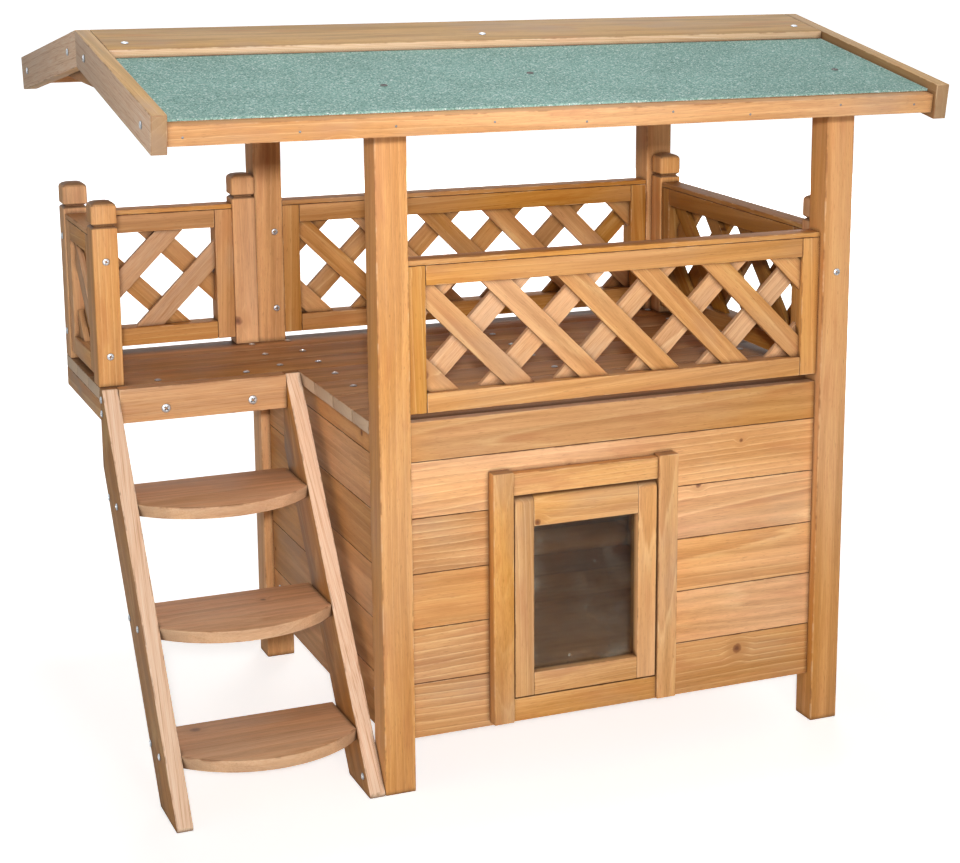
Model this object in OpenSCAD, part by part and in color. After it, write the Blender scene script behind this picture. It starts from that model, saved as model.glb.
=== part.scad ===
// Outdoor cat house on four posts, with a balcony, a ladder and a shallow gable roof.
// Millimetres, +Z up. The origin lies on the ground under the middle of the roof,
// +X runs along the front to the right and +Y runs to the back.

/* [Roof] */
// Length along the ridge, over both barge boards
roof_len = 770; // [700:1:900]
// Depth in plan, over the ends of the barge boards
roof_depth = 604; // [560:1:700]
// Height of the ridge above the ground
ridge_h = 718; // [690:1:800]
// Slope of the roof in degrees
roof_pitch = 9.2; // [7:0.1:12]
// Distance from the right posts to the right end of the roof
roof_over_right = 55; // [40:1:80]
// Thickness of the roof panels
panel_t = 9; // [6:0.5:12]
// Thickness of the roofing felt
felt_t = 2; // [1:0.5:3]
// Thickness of the barge boards
barge_t = 14; // [10:0.5:18]
// Height of the barge boards
barge_h = 34; // [28:1:45]
// How far the barge boards stand above the felt
barge_rise = 8; // [3:0.5:10]
// How far the barge boards run past the eave boards
barge_nose = 4; // [1:0.5:10]
// Thickness of the eave boards
eave_t = 12; // [9:0.5:16]
// Height of the eave boards
eave_h = 18; // [12:0.5:25]
// How far the eave boards lie below the felt
eave_drop = 2.5; // [1:0.5:5]
// Width of the ridge boards
ridge_board_w = 80; // [60:1:110]
// Thickness of the ridge boards
ridge_board_t = 8; // [6:0.5:12]
// Width of the roof bearers
bearer_w = 20; // [15:1:26]
// Height of the roof bearers on their inner side
bearer_h = 24; // [18:1:32]
// Length of the cleats under the ridge
cleat_len = 250; // [180:1:270]
// Height of the cleats under the ridge
cleat_h = 34.5; // [24:0.5:44]
// Thickness of the cleats under the ridge
cleat_t = 12; // [8:0.5:16]

/* [House] */
// Width over the posts
house_w = 498; // [470:1:540]
// Depth over the posts
house_d = 440; // [410:1:480]
// Side of the square main posts
post_w = 31; // [28:1:36]
// Height of the wall's lower edge above the ground
foot_h = 50; // [35:1:70]
// Height of a wall board
board_h = 55; // [50:0.5:58]
// Thickness of a wall board
wall_t = 11; // [9:0.5:14]
// How far the walls lie behind the faces of the posts
wall_recess = 10; // [6:0.5:12]
// Side of the wall battens
batten_w = 16; // [12:1:20]
// Thickness of the floor
floor_t = 10; // [8:0.5:12]
// Height of the floor bearers
floor_bearer_h = 14; // [10:0.5:14]
// Joint between two boards
board_joint = 0.6; // [0.4:0.1:1]
// Joint between the bars of a frame
bar_joint = 0.3; // [0.2:0.1:0.6]

/* [Doorway] */
// Middle of the doorway from the left posts
door_mid = 209; // [190:1:230]
// Clear width of the doorway
door_w = 154; // [140:1:170]
// Height of the doorway's sill above the ground
door_sill = 78.5; // [76:0.5:90]
// Clear height of the doorway
door_h = 206; // [190:1:215]
// Width of the trim's stiles
trim_w = 21; // [18:1:28]
// Height of the trim's top rail
trim_rail_h = 22; // [18:1:26]
// Thickness of the trim's stiles
trim_stile_t = 14; // [12:0.5:16]
// Thickness of the trim's rails
trim_rail_t = 11; // [9:0.5:12]
// How far the trim's stiles stand above its top rail
trim_rise = 2; // [0:0.5:4]
// How far the trim ends above the walls' lower edge
trim_foot = 5; // [0:0.5:10]

/* [Flap] */
// Gap between the flap and the doorway
flap_gap = 1.5; // [1:0.1:2.5]
// Thickness of the flap
flap_t = 16; // [14:0.5:18]
// How far the flap's face lies behind the faces of the trim's stiles
flap_recess = 2; // [1:0.5:4]
// Width of the flap's stiles
flap_stile_w = 20; // [17:1:26]
// Height of the flap's top rail
flap_top_h = 31; // [26:1:36]
// Height of the flap's bottom rail
flap_bottom_h = 23; // [18:1:30]
// Thickness of the clear pane
pane_t = 3; // [2:0.5:4]
// Depth of the groove that holds the pane
pane_edge = 6; // [4:0.5:8]
// Distance from the flap's back to the pane
pane_back = 3; // [2:0.5:5]
// Clearance of the pane in its groove
pane_clear = 0.2; // [0.1:0.05:0.4]
// Diameter of the hinge pins
pin_d = 4; // [3:0.5:5]
// Radial running clearance of the hinge pins
pin_clear = 0.05; // [0.02:0.01:0.09]
// How deep the hinge pins reach into the flap
pin_reach = 14; // [10:1:16]
// How deep the hinge pins sit in the trim
pin_seat = 12; // [8:1:16]
// Room at both ends of a hinge pin
pin_end = 0.5; // [0.3:0.1:1]

/* [Deck and balcony] */
// Height of the deck above the ground
deck_z = 364; // [345:1:385]
// Thickness of the deck boards
deck_t = 13; // [10:0.5:16]
// Width of the balcony, from its left end to the left posts
balcony_w = 202; // [185:1:215]
// Depth of the balcony
balcony_d = 168; // [150:1:190]
// Deck boards that run on over the balcony
balcony_boards = 3; // [2:1:4]
// Deck boards before the balcony
front_boards = 4; // [3:1:5]
// Width of the joists and balcony bearers
joist_w = 20; // [16:1:24]
// Height of the joists and balcony bearers
joist_h = 20; // [16:1:26]
// Clearance of the deck boards round the posts
notch_clear = 0.5; // [0.3:0.1:1]

/* [Railings] */
// Side of the newel posts
newel_w = 25; // [22:1:30]
// Height of the newel posts above the deck
newel_h = 185; // [170:1:210]
// Height of a newel post's head, above its groove
newel_head_h = 22; // [16:1:30]
// Height of the groove under a newel post's head
groove_h = 6; // [4:0.5:9]
// Depth of the groove under a newel post's head
groove_depth = 3; // [2:0.5:4]
// Height of the rounded top of a newel post
newel_round = 7; // [4:0.5:9]
// Gap between the deck and the railings
rail_gap = 8; // [5:0.5:14]
// Height of the railings
rail_h = 140; // [125:1:155]
// Width of the railings' stiles and rails
bar_w = 19; // [16:0.5:22]
// Thickness of the railings
rail_t = 22; // [20:0.5:22]
// Thickness of the cap strips on the railings
cap_t = 5; // [3:0.5:8]
// How far the front and rear railings lie behind the faces of the posts
rail_setback = 8; // [5:0.5:9]
// Width of a lattice slat
slat_w = 21; // [15:0.5:24]
// Thickness of a lattice slat
slat_t = 6; // [4:0.5:7]
// Distance from one lattice slat to the next, along the railing
slat_pitch = 77; // [68:1:90]
// How far the lattice lies behind the faces of its railing
slat_inset = 4.5; // [2:0.5:6]
// Shift of the front railing's lattice
front_shift = 0; // [-38:1:38]
// Shift of the rear railing's lattice
rear_shift = -4; // [-38:1:38]
// Shift of the two layers of slats in the balcony's rear railing, away from each other
balcony_shift = 3; // [-38:1:38]

/* [Ladder] */
// Thickness of the stringers
stringer_t = 16; // [14:0.5:20]
// Width of the stringers
stringer_w = 55; // [48:1:62]
// Height of the upright cut at a stringer's toe
toe_cut = 4; // [2:0.5:8]
// Length of the level cut on top of a stringer
top_cut = 11; // [8:0.5:15]
// Height of the screw that holds the ladder's foot to the post
foot_screw_z = 16; // [12:1:24]
// Height of the ladder's top board
top_board_h = 35; // [32:1:42]
// Thickness of the ladder's top board
top_board_t = 16; // [12:0.5:20]
// Thickness of a tread
tread_t = 12; // [10:0.5:15]
// Height of the lowest tread's top
first_tread = 58.5; // [45:0.5:80]
// Rise from tread to tread
tread_rise = 102.7; // [90:0.1:106]
// How far a tread reaches behind the stringers' front edge
tread_back = 75; // [60:1:84]
// How far a tread reaches before the stringers' front edge
tread_nose = 38; // [24:1:60]

/* [Fasteners] */
// Diameter of a screw's shank
screw_d = 3; // [2.5:0.1:4]
// Length of a screw
screw_len = 28; // [25:1:30]
// Length of a deck screw
deck_screw_len = 20; // [18:0.5:21]
// Length of a wall nail
nail_len = 20; // [18:1:24]
// Diameter of a screw's head
head_d = 7; // [6:0.5:8]
// Height of a screw's head
head_h = 1.3; // [1:0.1:2]
// Diameter of the heads of the ladder's two fixing screws
fixing_head_d = 9; // [8:0.5:11]
// Radial clearance of a screw in its hole
screw_clear = 0.1; // [0.05:0.05:0.2]

/* [Hidden] */
$fn = 48;
eps = 0.01;
far = 2000;

// House: faces of the posts
house_x1 = roof_len / 2 - roof_over_right;
house_x0 = house_x1 - house_w;
house_y1 = house_d / 2;
house_y0 = -house_y1;
post_x = [house_x0, house_x1 - post_w];
post_y = [house_y0, house_y1 - post_w];

// Walls: outer and inner faces
wall_out = wall_recess;
wall_in = wall_recess + wall_t;
courses = floor((deck_z - deck_t - foot_h) / board_h);
side_top = deck_z - deck_t;
joist_z = side_top - joist_h;

// Deck and balcony
balcony_x0 = house_x0 - balcony_w;
deck_y1 = house_y1 - wall_out;
deck_y0 = house_y0 + wall_in;
balcony_y0 = deck_y1 - balcony_d;
balcony_board_w = balcony_d / balcony_boards;
front_board_w = (balcony_y0 - deck_y0) / front_boards;

// Doorway and flap
door_x0 = house_x0 + door_mid - door_w / 2;
door_x1 = door_x0 + door_w;
door_top = door_sill + door_h;
trim_y = house_y0 + wall_out;
flap_x0 = door_x0 + flap_gap;
flap_x1 = door_x1 - flap_gap;
flap_z0 = door_sill + flap_gap;
flap_z1 = door_top - flap_gap;
flap_y0 = trim_y - trim_stile_t + flap_recess;
flap_r = flap_t / 2;
pin_y = flap_y0 + flap_r;
pin_z = flap_z1 - flap_r;
pane_x0 = flap_x0 + flap_stile_w;
pane_x1 = flap_x1 - flap_stile_w;
pane_z0 = flap_z0 + flap_bottom_h;
pane_z1 = flap_z1 - flap_top_h;
pane_y = flap_y0 + flap_t - pane_back - pane_t;

// Ladder: its stringers run from the front of the posts to the front of the balcony
toe_y = house_y0;
ladder_lean = (balcony_y0 - top_cut - toe_y) / (deck_z - toe_cut);
stringer_run = stringer_w * sqrt(1 + ladder_lean * ladder_lean);
knee_z = (balcony_y0 - toe_y - stringer_run) / ladder_lean + toe_cut;
ladder_x0 = balcony_x0 + stringer_t;
ladder_x1 = house_x0 - stringer_t;
ladder_mid = (ladder_x0 + ladder_x1) / 2;
tread_half = (ladder_x1 - ladder_x0) / 2;
tread_r = (tread_half * tread_half + tread_nose * tread_nose) / (2 * tread_nose);
tread_z = [for (i = [0:2]) first_tread + i * tread_rise];

// Roof: heights across the slope are counted from the top of the felt
felt_apex = ridge_h - ridge_board_t / cos(roof_pitch);
slope_len = (roof_depth / 2 - barge_rise * sin(roof_pitch)) / cos(roof_pitch);
panel_under = -felt_t - panel_t;
roof_x = roof_len / 2 - barge_t;
eave_y = -(slope_len - barge_nose);
function under_panel(y) = felt_apex + panel_under / cos(roof_pitch) - abs(y) * tan(roof_pitch);

// Railings
rail_z = deck_z + rail_gap;
newel_y1 = deck_y1 - newel_w;
newel_mid = newel_w / 2;

// Outward directions of screw heads, as rotations of +Z
LEFT = [0, -90, 0];
RIGHT = [0, 90, 0];
FRONT = [90, 0, 0];
UP = [0, 0, 0];

// Screw places: [head seat, outward direction]
balcony_rows = [for (i = [0:balcony_boards - 1]) balcony_y0 + (i + 0.5) * balcony_board_w];
front_rows = [for (i = [0:front_boards - 1]) deck_y0 + (i + 0.5) * front_board_w];
joist_x = [house_x0 + wall_in, (house_x0 + house_x1 - joist_w) / 2, house_x1 - wall_in - joist_w];
deck_spots = concat(
    [for (y = concat(balcony_rows, front_rows), x = joist_x) [[x + joist_w / 2, y, deck_z], UP]],
    [for (y = balcony_rows, x = [balcony_x0 + newel_w + head_d, house_x0 - joist_w / 2])
        if (y < newel_y1 - head_d && y > balcony_y0 + newel_w + head_d || x > balcony_x0 + newel_w + joist_w)
            [[x, min(y, newel_y1 - head_d), deck_z], UP]],
    [for (t = [0.3, 0.75]) [[balcony_x0 + t * balcony_w, balcony_y0 + joist_w / 2, deck_z], UP]]);
fixing_spots = [for (t = [0.27, 0.79])
    [[ladder_x0 + t * 2 * tread_half, balcony_y0 - top_board_t, joist_z + joist_h / 2], FRONT]];
tread_spots = [for (z = tread_z, s = [0, 1], t = [0.28, 0.76])
    [[s == 0 ? balcony_x0 : house_x0, tread_front(z) + t * tread_back, z - tread_t / 2],
        s == 0 ? LEFT : RIGHT]];
top_board_spots = [for (t = [0.3, 0.7])
    [[balcony_x0, balcony_y0 - top_board_t / 2, deck_z - t * top_board_h], LEFT]];
foot_spots = [[[house_x0 - stringer_t, tread_front(foot_screw_z) + 1.6 * head_d, foot_screw_z], LEFT]];
newel_spots = concat(
    [for (t = [0.16, 0.84]) [[balcony_x0 + newel_mid, balcony_y0, rail_z + t * rail_h], FRONT]],
    [for (t = [0.14, 0.86]) [[balcony_x0, newel_y1 + newel_mid, rail_z + t * rail_h], LEFT]]);
post_spots = concat(
    [for (t = [0.2, 0.8]) [[post_x[0] + 0.7 * post_w, post_y[1], rail_z + t * rail_h], FRONT]],
    [[[post_x[1] + post_w / 2, post_y[0], rail_z + 0.75 * rail_h], FRONT]]);
wall_spots = [for (x = [0, 1], y = [-1, 1], z = [0.7, 4.5])
    [[x == 0 ? house_x0 + wall_out : house_x1 - wall_out,
        y * (house_y1 - post_w - 1.5 * batten_w), foot_h + z * board_h], x == 0 ? LEFT : RIGHT]];
ridge_spots = [for (x = [-1, 0, 1]) [[x * (roof_x - joist_w), -0.7 * ridge_board_w, ridge_board_t], UP]];
barge_spots = [for (x = [-1, 1], y = [1.2 * barge_h, slope_len - barge_h])
    [[x * roof_len / 2, -y, -felt_t - 0.78 * panel_t], x < 0 ? LEFT : RIGHT]];
felt_spots = concat(
    [for (x = post_x) [[x + post_w / 2, -(house_y1 - post_w / 2) / cos(roof_pitch), 0], UP]],
    [[[0, -(house_y1 - post_w - bearer_w / 2) / cos(roof_pitch), 0], UP]]);

// Finishes
WOOD = "#d29a5c";
DARK_WOOD = "#a8713f";
FELT = "#4f8a78";
ZINC = "#c9ccd0";
CLEAR = [0.8, 0.85, 0.85, 0.35];

// Helpers

// A box between two corners
module box(a, b) {
    translate(a)
        cube(b - a);
}

// Children on the front slope: X along the ridge, -Y down the slope, Z out of the felt
module on_slope() {
    translate([0, 0, felt_apex])
        rotate([roof_pitch, 0, 0])
            children();
}

// Children of the front slope, cut off upright before the middle of the ridge
module to_ridge(joint = 0) {
    intersection() {
        on_slope()
            children();
        box([-far, -far, -far], [far, -joint / 2, far]);
    }
}

// The same on both slopes
module both_slopes() {
    children();
    mirror([0, 1, 0])
        children();
}

// All that lies above the underside of the roof panels
module above_panels() {
    both_slopes()
        to_ridge()
            box([-far, -far, panel_under], [far, far, far]);
}

// A screw along +Z, its head seated at z = 0
module screw(len = screw_len, wide = head_d) {
    translate([0, 0, -len])
        cylinder(h = len + eps, d = screw_d);
    cylinder(h = head_h / 2, d = wide);
    translate([0, 0, head_h / 2])
        cylinder(h = head_h / 2, d1 = wide, d2 = wide * 0.6);
}

// Screws at a list of places
module screws(spots, len = screw_len, wide = head_d) {
    for (s = spots)
        translate(s[0])
            rotate(s[1])
                screw(len, wide);
}

// Their holes
module screw_holes(spots, len = screw_len) {
    for (s = spots)
        translate(s[0])
            rotate(s[1])
                translate([0, 0, -len - 1])
                    cylinder(h = len + 2, d = screw_d + 2 * screw_clear);
}

// Main posts, cut to the slope of the roof
module post(ix, iy) {
    color(WOOD)
        difference() {
            box([post_x[ix], post_y[iy], 0], [post_x[ix] + post_w, post_y[iy] + post_w, ridge_h]);
            above_panels();
            both_slopes()
                on_slope()
                    screw_holes(felt_spots);
            screw_holes(post_spots);
            screw_holes(foot_spots);
        }
}

module post_front_left() post(0, 0);
module post_front_right() post(1, 0);
module post_rear_left() post(0, 1);
module post_rear_right() post(1, 1);

// Walls

// Lower and upper edge of course i of a wall that ends at height top
function course_z(i, top) = [foot_h + i * board_h + (i == 0 ? 0 : board_joint),
    i == courses ? top : foot_h + (i + 1) * board_h];

// A length of a front wall board
module front_length(x0, x1, z0, z1) {
    if (z1 > z0)
        box([x0, house_y0 + wall_out, z0], [x1, house_y0 + wall_in, z1]);
}

// The doorway cuts the courses it meets; short lengths close the wall below and above it
module front_wall_boards() {
    x0 = house_x0 + post_w;
    x1 = house_x1 - post_w;
    color(WOOD)
        for (i = [0:courses]) {
            z = course_z(i, deck_z);
            cut = z[1] > door_sill && z[0] < door_top;
            if (cut) {
                front_length(x0, door_x0, z[0], z[1]);
                front_length(door_x1, x1, z[0], z[1]);
                front_length(door_x0 + board_joint, door_x1 - board_joint, z[0], min(z[1], door_sill));
                front_length(door_x0 + board_joint, door_x1 - board_joint, max(z[0], door_top), z[1]);
            } else
                front_length(x0, x1, z[0], z[1]);
        }
}

module rear_wall_boards() {
    color(WOOD)
        for (i = [0:courses]) {
            z = course_z(i, side_top);
            box([house_x0 + post_w, house_y1 - wall_in, z[0]], [house_x1 - post_w, house_y1 - wall_out, z[1]]);
        }
}

module side_wall(x) {
    color(WOOD)
        difference() {
            for (i = [0:courses]) {
                z = course_z(i, side_top);
                box([x, house_y0 + post_w, z[0]], [x + wall_t, house_y1 - post_w, z[1]]);
            }
            screw_holes(wall_spots, nail_len);
        }
}

module left_wall_boards() side_wall(house_x0 + wall_out);
module right_wall_boards() side_wall(house_x1 - wall_in);

// Upright battens behind the ends of the wall boards and beside the doorway
module corner_battens(c = 0) {
    for (sx = [0, 1], sy = [0, 1]) {
        front_x = sx == 0 ? house_x0 + post_w : house_x1 - post_w - batten_w;
        front_y = sy == 0 ? house_y0 + wall_in : house_y1 - wall_in - batten_w;
        side_x = sx == 0 ? house_x0 + wall_in : house_x1 - wall_in - batten_w;
        side_y = sy == 0 ? house_y0 + post_w + batten_w : house_y1 - post_w - 2 * batten_w;
        for (p = [[front_x, front_y], [side_x, side_y]])
            box([p[0] - c, p[1] - c, foot_h], [p[0] + batten_w + c, p[1] + batten_w + c, joist_z]);
    }
}

module wall_battens() {
    floor_z = foot_h + floor_bearer_h + floor_t;
    color(WOOD) {
        difference() {
            corner_battens();
            screw_holes(wall_spots, nail_len);
        }
        for (x = [door_x0 - batten_w, door_x1])
            translate([x, house_y0 + wall_in, floor_z])
                cube([batten_w, batten_w, joist_z - floor_z]);
    }
}

// Floor, notched round the posts and battens
module floor_panel() {
    z0 = foot_h + floor_bearer_h;
    color(WOOD)
        difference() {
            box([house_x0 + wall_in, house_y0 + wall_in, z0], [house_x1 - wall_in, house_y1 - wall_in, z0 + floor_t]);
            post_notches();
            corner_battens(notch_clear);
        }
}

// The posts, wider by the notch clearance
module post_notches() {
    c = notch_clear;
    for (x = post_x, y = post_y)
        box([x - c, y - c, 0], [x + post_w + c, y + post_w + c, ridge_h]);
}

module floor_bearers() {
    x0 = house_x0 + post_w + batten_w;
    x1 = house_x1 - post_w - batten_w;
    color(WOOD)
        for (y = [house_y0 + wall_in, house_y1 - wall_in - batten_w])
            box([x0, y, foot_h], [x1, y + batten_w, foot_h + floor_bearer_h]);
}

// Doorway trim
module door_trim_stile(x) {
    color(WOOD)
        difference() {
            box([x, trim_y - trim_stile_t, foot_h + trim_foot],
                [x + trim_w, trim_y, door_top + trim_rail_h + trim_rise]);
            for (edge = [door_x0, door_x1])
                translate([edge - pin_seat, pin_y, pin_z])
                    rotate([0, 90, 0])
                        cylinder(h = 2 * pin_seat, d = pin_d + 2 * pin_clear);
        }
}

module door_trim_left() door_trim_stile(door_x0 - trim_w);
module door_trim_right() door_trim_stile(door_x1);

module door_trim_rail(z0, z1) {
    color(WOOD)
        box([door_x0, trim_y - trim_rail_t, z0], [door_x1, trim_y, z1]);
}

module door_trim_top() door_trim_rail(door_top, door_top + trim_rail_h);
module door_trim_bottom() door_trim_rail(foot_h + trim_foot, door_sill);

// Cat flap: its top is rounded about the pins, so that it turns freely under the trim
module flap_bar(x0, x1, z0, z1) {
    round_top = z1 > pin_z;
    box([x0, flap_y0, z0], [x1, flap_y0 + flap_t, round_top ? pin_z : z1]);
    if (round_top)
        translate([x0, pin_y, pin_z])
            rotate([0, 90, 0])
                cylinder(h = x1 - x0, r = flap_r);
}

// Room for the pane in the flap's frame
module pane_groove() {
    e = pane_edge + pane_clear;
    box([pane_x0 - e, pane_y - pane_clear, pane_z0 - e],
        [pane_x1 + e, pane_y + pane_t + pane_clear, pane_z1 + e]);
}

module flap_stile(x0) {
    color(WOOD)
        difference() {
            flap_bar(x0, x0 + flap_stile_w, flap_z0, flap_z1);
            pane_groove();
            for (x = [flap_x0, flap_x1])
                translate([x - pin_reach, pin_y, pin_z])
                    rotate([0, 90, 0])
                        cylinder(h = 2 * pin_reach, d = pin_d + 2 * pin_clear);
        }
}

module flap_stile_left() flap_stile(flap_x0);
module flap_stile_right() flap_stile(pane_x1);

module flap_rail_top() {
    color(WOOD)
        difference() {
            flap_bar(pane_x0, pane_x1, pane_z1, flap_z1);
            pane_groove();
        }
}

module flap_rail_bottom() {
    color(WOOD)
        difference() {
            flap_bar(pane_x0, pane_x1, flap_z0, pane_z0);
            pane_groove();
        }
}

module flap_pane() {
    color(CLEAR)
        box([pane_x0 - pane_edge, pane_y, pane_z0 - pane_edge],
            [pane_x1 + pane_edge, pane_y + pane_t, pane_z1 + pane_edge]);
}

// Hinge pins, seated in the trim's stiles and reaching into the flap's
module flap_pins() {
    len = pin_seat + flap_gap + pin_reach - 2 * pin_end;
    color(ZINC)
        for (x = [door_x0 - pin_seat + pin_end, flap_x1 - pin_reach + pin_end])
            translate([x, pin_y, pin_z])
                rotate([0, 90, 0])
                    cylinder(h = len, d = pin_d);
}

// Deck boards, notched round the posts
module deck_board(x0, y0, y1) {
    difference() {
        box([x0, y0 + board_joint / 2, side_top], [house_x1, y1 - board_joint / 2, deck_z]);
        post_notches();
        screw_holes(deck_spots, deck_screw_len);
    }
}

module deck_boards_long() {
    color(DARK_WOOD)
        for (y = balcony_rows)
            deck_board(balcony_x0, y - balcony_board_w / 2, y + balcony_board_w / 2);
}

module deck_boards_short() {
    color(DARK_WOOD)
        for (y = front_rows)
            deck_board(house_x0, y - front_board_w / 2, y + front_board_w / 2);
}

module deck_joists() {
    color(WOOD)
        difference() {
            for (x = joist_x)
                box([x, house_y0 + post_w, joist_z], [x + joist_w, house_y1 - post_w, side_top]);
            screw_holes(deck_spots, deck_screw_len);
        }
}

module balcony_bearers() {
    inner_x0 = balcony_x0 + joist_w + bar_joint;
    inner_x1 = house_x0 - joist_w - bar_joint;
    color(WOOD)
        difference() {
            union() {
                for (x = [balcony_x0, house_x0 - joist_w])
                    box([x, balcony_y0, joist_z], [x + joist_w, deck_y1, side_top]);
                for (y = [balcony_y0, deck_y1 - joist_w])
                    box([inner_x0, y, joist_z], [inner_x1, y + joist_w, side_top]);
            }
            screw_holes(deck_spots, deck_screw_len);
            screw_holes(fixing_spots);
        }
}

// Newel posts: a groove on all four faces sets off the head, and the top is rounded
function newel_side() = let (h = newel_h, c = newel_round, z1 = h - newel_head_h, z0 = z1 - groove_h)
    [[0, 0], [0, z0], [groove_depth, (z0 + z1) / 2], [0, z1],
        [0, h - c], [0.15 * c, h - 0.6 * c], [0.6 * c, h - 0.2 * c], [1.2 * c, h]];
function newel_outline() = let (half = newel_side(), n = len(half))
    concat(half, [for (i = [n - 1:-1:0]) [newel_w - half[i][0], half[i][1]]]);

module newel(x, y) {
    color(WOOD)
        difference() {
            translate([x, y, deck_z])
                intersection() {
                    translate([0, newel_w, 0])
                        rotate([90, 0, 0])
                            linear_extrude(newel_w)
                                polygon(newel_outline());
                    rotate([90, 0, 90])
                        linear_extrude(newel_w)
                            polygon(newel_outline());
                }
            screw_holes(newel_spots);
        }
}

module newel_balcony_front() newel(balcony_x0, balcony_y0);
module newel_balcony_rear() newel(balcony_x0, newel_y1);
module newel_rear_left() newel(house_x0 - newel_w, newel_y1);
module newel_rear_right() newel(house_x1 - newel_w, house_y1 - post_w - newel_w);
module newel_front_right() newel(house_x1 - newel_w, house_y0 + post_w);

// Railings, drawn along +X from the origin with their outer face at y = 0

// Two stiles and two rails under a cap strip
module railing_frame(len) {
    color(WOOD) {
        for (x = [0, len - bar_w])
            box([x, 0, 0], [x + bar_w, rail_t, rail_h]);
        for (z = [0, rail_h - bar_w])
            box([bar_w + bar_joint, 0, z], [len - bar_w - bar_joint, rail_t, z + bar_w]);
        translate([0, 0, rail_h + bar_joint])
            cube([len, rail_t, cap_t]);
    }
}

// One layer of slats in the railing's opening, leaning to the left or to the right
module slat_layer(len, y, lean, shift) {
    open_l = len - 2 * bar_w;
    open_h = rail_h - 2 * bar_w;
    reach = ceil((open_l + open_h + 2 * slat_w) / 2 / slat_pitch);
    edge = (open_l + open_h) / 2 + slat_w * 0.7;
    slat_len = 2 * (open_h + slat_w);
    for (i = [-reach - 1:reach + 1]) {
        mid = i * slat_pitch + shift;
        if (abs(mid) < edge - slat_w / 2)
            intersection() {
                box([bar_w, y, bar_w], [len - bar_w, y + slat_t, rail_h - bar_w]);
                translate([len / 2 + mid, y, rail_h / 2])
                    rotate([0, lean * 45, 0])
                        translate([-slat_len / 2, 0, -slat_w / 2])
                            cube([slat_len, slat_t, slat_w]);
            }
    }
}

module railing_lattice(place) {
    color(WOOD) {
        slat_layer(place[2], slat_inset, place[3], place[4]);
        slat_layer(place[2], slat_inset + slat_t + bar_joint, -place[3], place[5]);
    }
}

// Places of the five railings: [corner of the outer face, turn, length,
// lean of the outer slats, shift of the outer slats, shift of the inner slats]
end_len = newel_y1 - balcony_y0 - newel_w;
rear_balcony_len = balcony_w - 2 * newel_w;
bay_len = house_w - 2 * post_w;
side_len = house_d - 2 * post_w - 2 * newel_w;
newel_inset = (newel_w - rail_t) / 2;
END = [[balcony_x0 + newel_inset, newel_y1, rail_z], -90, end_len, 1, 0, 0];
BALCONY_REAR = [[house_x0 - newel_w, deck_y1 - newel_inset, rail_z], 180, rear_balcony_len,
    -1, slat_pitch / 2 - balcony_shift, slat_pitch / 2 + balcony_shift];
REAR = [[house_x1 - post_w, house_y1 - rail_setback, rail_z], 180, bay_len,
    1, rear_shift, rear_shift];
SIDE = [[house_x1 - newel_inset, house_y0 + post_w + newel_w, rail_z], 90, side_len, 1, 0, 0];
FRONT_BAY = [[house_x0 + post_w, house_y0 + rail_setback, rail_z], 0, bay_len,
    1, front_shift, front_shift];

module at(place) {
    translate(place[0])
        rotate([0, 0, place[1]])
            children();
}

module drilled_railing(place) {
    difference() {
        at(place)
            railing_frame(place[2]);
        screw_holes(newel_spots);
    }
}

module railing_balcony_end() drilled_railing(END);
module railing_balcony_rear() drilled_railing(BALCONY_REAR);
module railing_rear() drilled_railing(REAR);
module railing_side() drilled_railing(SIDE);
module railing_front() drilled_railing(FRONT_BAY);
module lattice_balcony_end() at(END) railing_lattice(END);
module lattice_balcony_rear() at(BALCONY_REAR) railing_lattice(BALCONY_REAR);
module lattice_rear() at(REAR) railing_lattice(REAR);
module lattice_side() at(SIDE) railing_lattice(SIDE);
module lattice_front() at(FRONT_BAY) railing_lattice(FRONT_BAY);

// Ladder

// Front edge of the stringers at height z
function tread_front(z) = toe_y + (z - toe_cut) * ladder_lean;

module stringer(x) {
    color(WOOD)
        difference() {
            translate([x, 0, 0])
                rotate([90, 0, 90])
                    linear_extrude(stringer_t)
                        polygon([[toe_y, 0], [toe_y, toe_cut], [balcony_y0 - top_cut, deck_z],
                            [balcony_y0, deck_z], [balcony_y0, knee_z],
                            [toe_y + stringer_run - toe_cut * ladder_lean, 0]]);
            screw_holes(tread_spots);
            screw_holes(top_board_spots);
            screw_holes(foot_spots);
        }
}

module ladder_stringer_left() stringer(balcony_x0);
module ladder_stringer_right() stringer(ladder_x1);

module ladder_top_board() {
    color(WOOD)
        difference() {
            box([ladder_x0, balcony_y0 - top_board_t, deck_z - top_board_h], [ladder_x1, balcony_y0, deck_z]);
            screw_holes(fixing_spots);
            screw_holes(top_board_spots);
        }
}

// D-shaped tread: straight at the back, an arc at the front
module tread(z) {
    edge = tread_front(z);
    color(DARK_WOOD)
        difference() {
            union() {
                box([ladder_x0, edge, z - tread_t], [ladder_x1, edge + tread_back, z]);
                intersection() {
                    translate([ladder_mid, edge - tread_nose + tread_r, z - tread_t])
                        cylinder(h = tread_t, r = tread_r, $fn = 96);
                    box([ladder_x0, edge - tread_nose - 1, z - tread_t], [ladder_x1, edge + 1, z]);
                }
            }
            screw_holes(tread_spots);
        }
}

module tread_lower() tread(tread_z[0]);
module tread_middle() tread(tread_z[1]);
module tread_upper() tread(tread_z[2]);

// Roof
module slope_holes() {
    screw_holes(ridge_spots);
    screw_holes(barge_spots);
    screw_holes(felt_spots);
}

module roof_panel_front() {
    color(WOOD)
        to_ridge()
            difference() {
                box([-roof_x, eave_y + eave_t, panel_under], [roof_x, panel_t, -felt_t]);
                slope_holes();
            }
}

module roof_panel_rear() mirror([0, 1, 0]) roof_panel_front();

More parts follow.
